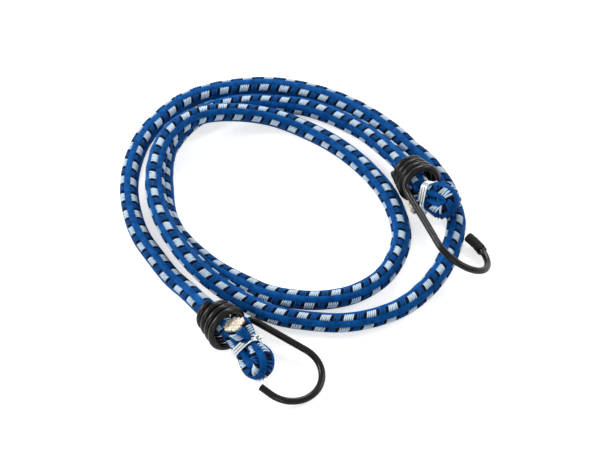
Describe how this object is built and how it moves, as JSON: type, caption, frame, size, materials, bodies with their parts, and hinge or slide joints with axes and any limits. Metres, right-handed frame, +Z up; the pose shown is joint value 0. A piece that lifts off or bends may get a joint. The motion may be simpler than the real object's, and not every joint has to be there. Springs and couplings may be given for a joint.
{
  "type": "bungee cord",
  "caption": "Elastic cord in a woven jacket, lying in loops, with a spiral wire hook on each folded and wire-bound end.",
  "frame": {"origin": "middle of the outline seen from above, on the surface that the cord lies on", "axes": "+Z up, +X to the right of the reference view, +Y away from its camera"},
  "size_m": [0.1576, 0.1754, 0.022],
  "materials": {
    "woven_jacket": "woven polyester yarn, blue with white blocks edged in black",
    "latex_rubber": "raw cream rubber",
    "coated_steel": "dark semi-gloss coating on steel wire",
    "bright_wire": "bright galvanised wire",
    "tip_plastic": "dark dipped plastic"
  },
  "bodies": {
    "cord": {"cord_jacket": "woven_jacket", "rubber_strand_1": "latex_rubber", "rubber_strand_2": "latex_rubber", "rubber_strand_3": "latex_rubber", "rubber_strand_4": "latex_rubber", "rubber_strand_5": "latex_rubber", "rubber_strand_6": "latex_rubber", "rubber_strand_7": "latex_rubber", "rubber_strand_8": "latex_rubber", "rubber_strand_9": "latex_rubber", "left_binding_wire": "bright_wire", "right_binding_wire": "bright_wire"},
    "left_hook": {"left_hook": "coated_steel"},
    "right_hook": {"right_hook": "coated_steel", "right_tip_cap": "tip_plastic"}
  },
  "joints": [
    {"name": "left_hook_swivel", "type": "hinge", "parent": "cord", "child": "left_hook", "pos_m": [-0.03127, -0.05571, 0.0098], "axis": [0.6082, -0.7812, 0.1409], "range_deg": [0, 75]},
    {"name": "right_hook_swivel", "type": "hinge", "parent": "cord", "child": "right_hook", "pos_m": [0.04933, 0.01769, 0.0124], "axis": [0.4081, -0.8873, 0.2147], "range_deg": [0, 20]}
  ]
}
